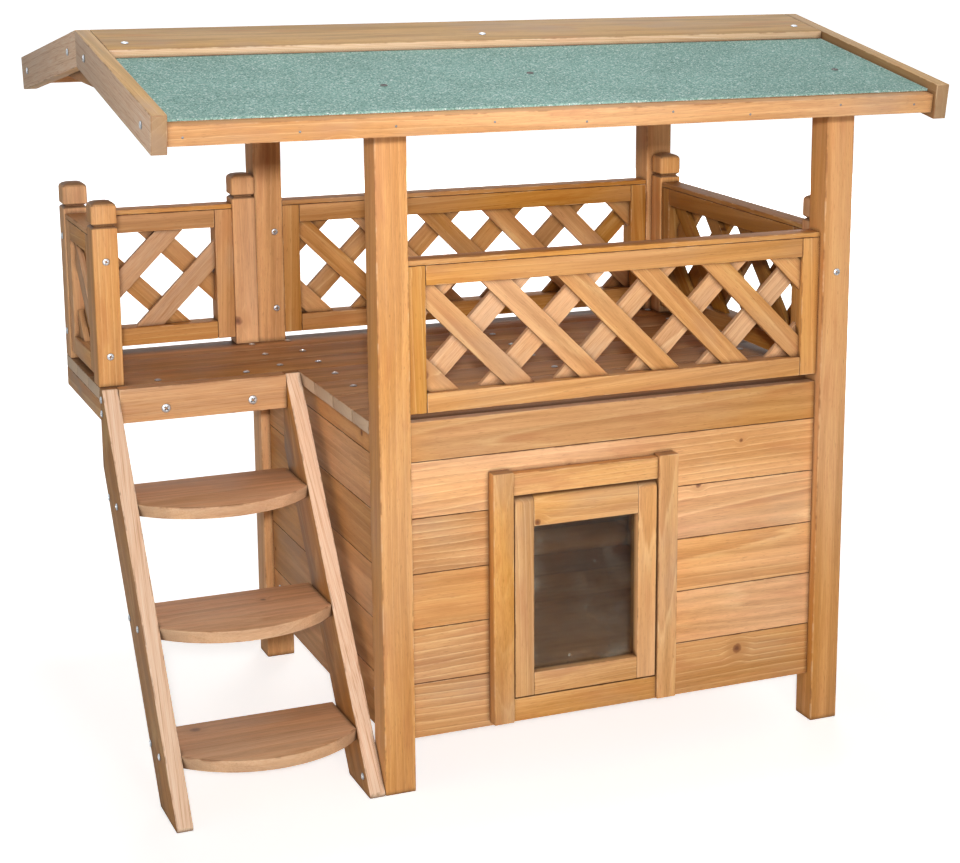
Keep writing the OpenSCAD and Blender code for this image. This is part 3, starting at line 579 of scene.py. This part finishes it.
# %% Lattices
# the back and side lattices are painted darker, for the shade under the roof
for place, tone, planed in (("balcony_end", -0.9, 0.3), ("balcony_rear", -1.2, 0.35), ("rear", -0.9, 0.0),
                            ("side", -3.0, 0.0), ("front", -0.3, 0.3)):
    stack = Stack("lattice_" + place + "_timber", tone=tone, spread=0.6, bold=0.5)
    for points in boards_of("lattice_" + place):
        mesh = hull_of(points)
        axes = grain_axes(mesh)
        rising = (axes[0].x + axes[0].y) * axes[0].z > 0
        ease(mesh, 0.4 * MM)
        lighter = -0.6 if rising and place != "front" else 0.0
        stack.put(mesh, axes, bare=planed if rising else 0.0, lighter=lighter)
    stack.build(honey_fir, "house", ["lattice_" + place])
print("lattices made")

# %% [markdown]
# ## Front wall
#
# The course above the doorway and the one below it are single boards with a notch, so the
# lengths that the CAD model splits at the doorway are joined here into one outline.

# %% Outlines of the front wall's boards
COURSE_REACH = 50 * MM
NOTCH_STEP = 16 * MM


def span(points):
    return [min(p[i] for p in points) for i in range(3)], [max(p[i] for p in points) for i in range(3)]


def in_course(board, z):
    return z - MM < board[0][2] < z + COURSE_REACH and board[1][2] > z + MM


spans = [span(points) for points in boards_of("front_wall_boards")]
wall_left = min(low[0] for low, high in spans)
outlines = []
for z in sorted({round(low[2], 4) for low, high in spans if low[0] < wall_left + MM}):
    course = sorted((s for s in spans if in_course(s, z)), key=lambda s: s[0][0])
    course = [s for s in course if not any(o is not s and o[0][2] < s[0][2] - NOTCH_STEP for o in course)]
    if len(course) != 3:
        for low, high in course:
            outlines.append([(low[0], low[2]), (high[0], low[2]), (high[0], high[2]), (low[0], high[2])])
        continue
    (x0, _, z0), (x1, _, z1) = course[0][0], course[2][1]
    gap0, gap1 = course[0][1][0], course[2][0][0]
    foot, head = course[1][0][2], course[1][1][2]
    if foot > z0 + MM:
        outlines.append([(x0, z0), (gap0, z0), (gap0, foot), (gap1, foot), (gap1, z0), (x1, z0), (x1, z1),
                         (x0, z1)])
    else:
        outlines.append([(x0, z0), (x1, z0), (x1, z1), (gap1, z1), (gap1, head), (gap0, head), (gap0, z1),
                         (x0, z1)])
print("front wall lengths:", len(outlines))

# %% Front wall
WALL_AXES = (Vector((1, 0, 0)), Vector((0, 0, 1)), Vector((0, -1, 0)))
stack = Stack("front_wall_boards_timber", spread=0.5, bold=0.8)
wall_top = max(z for outline in outlines for x, z in outline)
wall_foot = min(z for outline in outlines for x, z in outline)
for outline in outlines:
    mesh = prism_of(outline, spans[0][0][1], spans[0][1][1], upright=True)
    ease(mesh, 0.8 * MM)
    # the lengths right of the doorway and the notched courses are paler, the top and bottom courses are
    # darker
    paler_length = min(x for x, z in outline) > 0 or len(outline) > 4
    upper = max(z for x, z in outline) > wall_top - MM
    lighter = -1.1 if upper else 1.8 if paler_length else 0.2
    if min(z for x, z in outline) < wall_foot + MM:
        lighter -= 1.7
    stack.put(mesh, WALL_AXES, bare=0.5 if upper else 0.0, paleness_side=(0, 0, 1), lighter=lighter,
              figure=0.4 if upper else 1.0)
stack.build(honey_fir, "house", ["front_wall_boards"])
print("front wall made")

# %% [markdown]
# ## Deck boards
#
# The deck boards are notched round the posts, so their outline is drawn from the packed
# boxes of the boards and the posts.

# %% Deck boards


def notched_outline(low, high, posts):
    front, back = [], []
    for post_low, post_high in sorted(posts):
        x0, x1 = max(post_low[0], low[0]), min(post_high[0], high[0])
        if post_low[1] < low[1]:
            front += [(x0, low[1]), (x0, post_high[1]), (x1, post_high[1]), (x1, low[1])]
        else:
            back += [(x0, high[1]), (x0, post_low[1]), (x1, post_low[1]), (x1, high[1])]
    path = [(low[0], low[1]), *front, (high[0], low[1]), (high[0], high[1]), *back[::-1], (low[0], high[1])]
    kept = []
    for i, p in enumerate(path):
        before, after = path[i - 1], path[(i + 1) % len(path)]
        turn_here = (p[0] - before[0]) * (after[1] - p[1]) - (p[1] - before[1]) * (after[0] - p[0])
        if abs(turn_here) > 1e-9:
            kept.append(p)
    return kept


def meet(a, b):
    return all(a[0][i] < b[1][i] and a[1][i] > b[0][i] for i in (0, 1))


POST_ROOM = 0.5 * MM
RAIL_SHADOW_BAND = 30 * MM
post_boxes = []
for corner in ("front_left", "front_right", "rear_left", "rear_right"):
    low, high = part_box("post_" + corner)
    post_boxes.append(([v - POST_ROOM for v in low[:2]], [v + POST_ROOM for v in high[:2]]))

wall_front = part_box("front_wall_boards")[0][1]
for node, tone in (("deck_boards_long", 0.9), ("deck_boards_short", 1.5)):
    stack = Stack(node + "_timber", tone=tone, spread=0.5, bold=0.4)
    for points in boards_of(node):
        low, high = span(points)
        near = [box for box in post_boxes if meet(box, (low, high))]
        mesh = prism_of(notched_outline(low, high, near), low[2], high[2])
        axes = grain_axes(mesh)
        ease(mesh, 1.2 * MM)
        # cut ends that face the light dried pale; the boards along the front are painted darker, for the
        # rail's shadow
        lighter = -0.6 if low[1] < wall_front + RAIL_SHADOW_BAND else 0.0
        stack.put(mesh, axes, bare=1.0, paleness_side=LEFT_FACE, lighter=lighter)
    stack.build(deck_fir, "house", [node])
print("deck boards made")

# %% [markdown]
# ## Newel posts
#
# A newel is built up from rounded squares: a straight shaft, a groove that sets off the
# head, and a softly domed top.

# %% Newel posts
CORNER_STEPS = 4


def rounded_square(half, corner, z, middle):
    points = []
    for quarter in range(4):
        turn_by = math.pi / 2 * quarter
        for i in range(CORNER_STEPS + 1):
            a = turn_by + math.pi / 2 * i / CORNER_STEPS
            cx = (half - corner) * (1 if quarter in (0, 3) else -1)
            cy = (half - corner) * (1 if quarter in (0, 1) else -1)
            points.append((middle[0] + cx + corner * math.cos(a), middle[1] + cy + corner * math.sin(a), z))
    return points


def newel(node):
    low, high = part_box(node)
    middle = ((low[0] + high[0]) / 2, (low[1] + high[1]) / 2)
    half = (high[0] - low[0]) / 2 / MM
    tall = (high[2] - low[2]) / MM
    # (height, inset, corner radius) in millimetres, from the foot to the top
    shaft = [(0, 0.6, 1.2), (0.8, 0, 1.5), (tall - 26.8, 0, 1.5)]
    groove = [(tall - 26.2, 0.4, 1.5), (tall - 24.4, 3.2, 1.0), (tall - 24.0, 3.2, 1.0),
              (tall - 22.2, 0.4, 2.0)]
    head = [(tall - 21.6, 0, 2.2), (tall - 6, 0, 2.2), (tall - 4.4, 0.3, 2.4), (tall - 2.8, 1.2, 2.8)]
    crown = [(tall - 1.4, 3.2, 2.8), (tall - 0.5, 6.0, 2.0), (tall, 9.0, 1.2)]
    mesh = bmesh.new()
    loops = []
    for z, inset, corner in shaft + groove + head + crown:
        ring = rounded_square((half - inset) * MM, corner * MM, low[2] + z * MM, middle)
        loops.append([mesh.verts.new(p) for p in ring])
    for a, b in zip(loops, loops[1:]):
        for i in range(len(a)):
            j = (i + 1) % len(a)
            mesh.faces.new((a[i], a[j], b[j], b[i]))
    mesh.faces.new(loops[0][::-1])
    mesh.faces.new(loops[-1])
    mesh.normal_update()
    stack = Stack(node + "_timber", tone=0.7, spread=0.4, bold=0.4)
    # the top of the head is made darker
    upright = (Vector((0, 0, 1)), Vector((1, 0, 0)), Vector((0, 1, 0)))
    stack.put(mesh, upright, bare=-0.6, paleness_side=(0, 0, 1))
    stack.build(honey_fir, "house", [node], sharp=28)


for place in ("balcony_front", "balcony_rear", "rear_left", "rear_right", "front_right"):
    newel("newel_" + place)
print("newel posts made")

# %% [markdown]
# ## Felt, pane and screws
#
# The felt keeps its CAD sheet. Each screw gets a domed head with a cross recess, pressed
# into a fine grid; its place and direction are read from its CAD solid.

# %% Felt and pane
for node in ("felt_front", "felt_rear"):
    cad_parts[node].data.materials[0] = felt
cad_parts["flap_pane"].data.materials[0] = acrylic
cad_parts["flap_pins"].data.materials[0] = zinc
print("felt, pane and hinge pins dressed")

# %% Screws
GRID = 22
AROUND = 16
NAIL_AROUND = 12
RECESS_DEEP = 1.6 * MM
RECESS_HALF_W, RECESS_HALF_L = 0.14, 0.58
SHANK_R, TIP_R, TIP_LEN = 1.5 * MM, 0.3 * MM, 4 * MM
NAIL_R, NAIL_PITCH_MM = 1.1 * MM, 88


def screw_frame(points):
    cloud = np.array([tuple(p) for p in points])
    middle = cloud.mean(axis=0)
    axis = np.linalg.svd(cloud - middle)[2][0]
    along = (cloud - middle) @ axis
    away = np.linalg.norm(cloud - middle - np.outer(along, axis), axis=1)
    wide = away > 0.7 * away.max()
    if along[wide].mean() < 0:
        axis, along = -axis, -along
    wide = away > 0.85 * away.max()
    seat = middle + axis * along[wide].min()
    tip = along.min() - along[wide].min()
    return Vector(seat), Vector(axis), away.max(), along.max() - along[wide].min(), -tip


def screw_head(stack_points, stack_faces, points, chance):
    seat, axis, radius, tall, deep = screw_frame(points)
    turn_to = axis.to_track_quat("Z", "Y").to_matrix() @ Matrix.Rotation(chance.uniform(0, math.pi), 3, "Z")
    first = len(stack_points)
    for i in range(GRID + 1):
        for j in range(GRID + 1):
            a, b = 2 * i / GRID - 1, 2 * j / GRID - 1
            x, y = a * math.sqrt(1 - b * b / 2), b * math.sqrt(1 - a * a / 2)
            r = min(1.0, math.hypot(x, y))
            z = tall * (1 - 0.6 * r ** 6)
            across, along = sorted((abs(a), abs(b)))
            z -= RECESS_DEEP if across < RECESS_HALF_W and along < RECESS_HALF_L else 0
            stack_points.append(seat + turn_to @ Vector((x * radius, y * radius, z)))
    for i in range(GRID):
        for j in range(GRID):
            k = first + i * (GRID + 1) + j
            stack_faces.append((k, k + GRID + 1, k + GRID + 2, k + 1))
    first = len(stack_points)
    for depth, r in ((0, radius), (0, SHANK_R), (-deep + TIP_LEN, SHANK_R), (-deep, TIP_R)):
        for i in range(AROUND):
            a = 2 * math.pi * i / AROUND
            stack_points.append(seat + turn_to @ Vector((r * math.cos(a), r * math.sin(a), depth)))
    for level in range(3):
        for i in range(AROUND):
            k, j = first + level * AROUND + i, first + level * AROUND + (i + 1) % AROUND
            stack_faces.append((j, k, k + AROUND, j + AROUND))


def nail_head(stack_points, stack_faces, at, out):
    turn_to = out.to_track_quat("Z", "Y").to_matrix()
    first = len(stack_points)
    # (share of the radius, height in millimetres) from the rim to the top
    rings = ((1.0, -0.2), (1.0, 0.15), (0.7, 0.4), (0.25, 0.5))
    for share, z in rings:
        r = NAIL_R * share
        for i in range(NAIL_AROUND):
            a = 2 * math.pi * i / NAIL_AROUND
            stack_points.append(at + turn_to @ Vector((r * math.cos(a), r * math.sin(a), z * MM)))
    for level in range(len(rings) - 1):
        for i in range(NAIL_AROUND):
            k = first + level * NAIL_AROUND + i
            j = first + level * NAIL_AROUND + (i + 1) % NAIL_AROUND
            stack_faces.append((k, j, j + NAIL_AROUND, k + NAIL_AROUND))
    last = first + (len(rings) - 1) * NAIL_AROUND
    stack_faces.append(tuple(range(last, last + NAIL_AROUND)))


felt_end, ridge_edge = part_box("felt_front")[1][0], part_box("ridge_boards")[1][1]
for node in ("deck_screws", "frame_screws", "roof_screws"):
    chance = random.Random(node)
    points, faces, dull = [], [], []
    for solid in boards_of(node):
        screw_head(points, faces, solid, chance)
        low, high = span(solid)
        clear_of_ridge = min(abs(low[1]), abs(high[1])) > ridge_edge
        on_felt = node == "roof_screws" and clear_of_ridge and max(abs(low[0]), abs(high[0])) < felt_end
        dull.extend([0.9 if on_felt else 0.0] * (len(faces) - len(dull)))
    # small nails hold the eave boards
    for board in boards_of("eave_boards") if node == "roof_screws" else []:
        mesh = hull_of(board)
        outer = max(mesh.faces, key=lambda f: f.normal.y * math.copysign(1, f.calc_center_median().y))
        middle, normal = outer.calc_center_median(), outer.normal.copy()
        mesh.free()
        for i in range(-4, 5):
            shift = Vector((i * NAIL_PITCH_MM + chance.uniform(-8, 8), 0, chance.uniform(-3, 3))) * MM
            nail_head(points, faces, middle + shift - normal * shift.dot(normal), normal)
            dull.extend([0.7] * (len(faces) - len(dull)))
    data = bpy.data.meshes.new(node + "_zinc")
    data.from_pydata(points, [], faces)
    data.attributes.new("dull", "FLOAT", "FACE").data.foreach_set("value", dull)
    data.shade_smooth()
    data.set_sharp_from_angle(angle=math.radians(35))
    data.materials.append(zinc)
    piece = bpy.data.objects.new(node + "_zinc", data)
    bpy.context.scene.collection.objects.link(piece)
    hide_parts(node)
    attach(piece, "house")
    print(node, len(faces), "faces")

# %% [markdown]
# ## Studio
#
# A pale floor, a main light beside the camera with a weak one below it, wide lights from
# the left, overhead and behind, and an even white surround.

# %% Floor
FLOOR_HALF = 40


def backdrop_rays(tree):
    rays = add(tree, "ShaderNodeLightPath").outputs
    return maths(tree, "MAXIMUM", rays["Is Camera Ray"], rays["Is Transmission Ray"]), rays["Is Glossy Ray"]


floor_material, tree, skin = finish("studio_floor_white")
skin.inputs["Base Color"].default_value = srgb("#f4f3f1")
skin.inputs["Roughness"].default_value = 0.9
# only the camera sees this glow, also through the pane, so it lights nothing; it is weaker
# near the house, where the shadow lies
away = add(tree, "ShaderNodeVectorMath", {0: place_on(tree)}, operation="LENGTH").outputs["Value"]
glow = fade(tree, away, 0.6, 2.0, 0.62, 1.0, "LINEAR")
tree.links.new(maths(tree, "MULTIPLY", glow, backdrop_rays(tree)[0]), skin.inputs["Emission Strength"])
skin.inputs["Emission Color"].default_value = (1, 1, 1, 1)
floor_data = bpy.data.meshes.new("studio_floor")
corners = [(x * FLOOR_HALF, y * FLOOR_HALF, 0) for x, y in ((-1, -1), (1, -1), (1, 1), (-1, 1))]
floor_data.from_pydata(corners, [], [(0, 1, 2, 3)])
floor_data.materials.append(floor_material)
studio_floor = bpy.data.objects.new("studio_floor", floor_data)
bpy.context.scene.collection.objects.link(studio_floor)
print("floor made")

# %% Lights


def softbox(name, at, towards, size, watts, spread=180):
    data = bpy.data.lights.new(name, "AREA")
    data.shape = "DISK"
    data.size = size
    data.energy = watts
    data.spread = math.radians(spread)
    lamp = bpy.data.objects.new(name, data)
    lamp.location = at
    lamp.rotation_euler = (Vector(towards) - Vector(at)).to_track_quat("-Z", "Y").to_euler()
    bpy.context.scene.collection.objects.link(lamp)


softbox("main_light", (-0.88, -2.4, 1.06), (0.04, 0, 0.6), 0.12, 7.0, spread=70)
softbox("low_light", (-0.17, -2.5, 0.62), (0.04, 0, 0.6), 0.2, 2.0, spread=70)
softbox("left_light", (-3.0, -1.0, 0.9), (0, 0, 0.3), 1.2, 3)
softbox("top_light", (0, 0.1, 3.2), (0, 0, 0.3), 0.8, 29)
softbox("back_light", (1.9, 3.6, 1.0), (0, 0, 0.3), 2.0, 75)
bpy.data.objects["back_light"].visible_glossy = False
print("lamps:", len(bpy.data.lights))

# %% Surround
ROOM_LIGHT = 0.12
world = bpy.data.worlds.new("studio")
world.use_nodes = True
bpy.context.scene.world = world
tree = world.node_tree
sky = tree.nodes["Background"]
seen, mirrored = backdrop_rays(tree)
# reflections see the white backdrop behind the house and a dimmer room before it
way = add(tree, "ShaderNodeTexCoord").outputs["Generated"]
depth = add(tree, "ShaderNodeSeparateXYZ", {0: way}).outputs[1]
mirror = maths(tree, "MULTIPLY", mirrored, fade(tree, depth, -0.3, 0.3, 0.75, 1.0, "LINEAR"))
level = maths(tree, "MAXIMUM", maths(tree, "MAXIMUM", seen, mirror), ROOM_LIGHT)
tree.links.new(level, sky.inputs["Strength"])
sky.inputs["Color"].default_value = (1, 1, 1, 1)
bpy.context.scene.view_settings.view_transform = "Standard"
print("surround made")
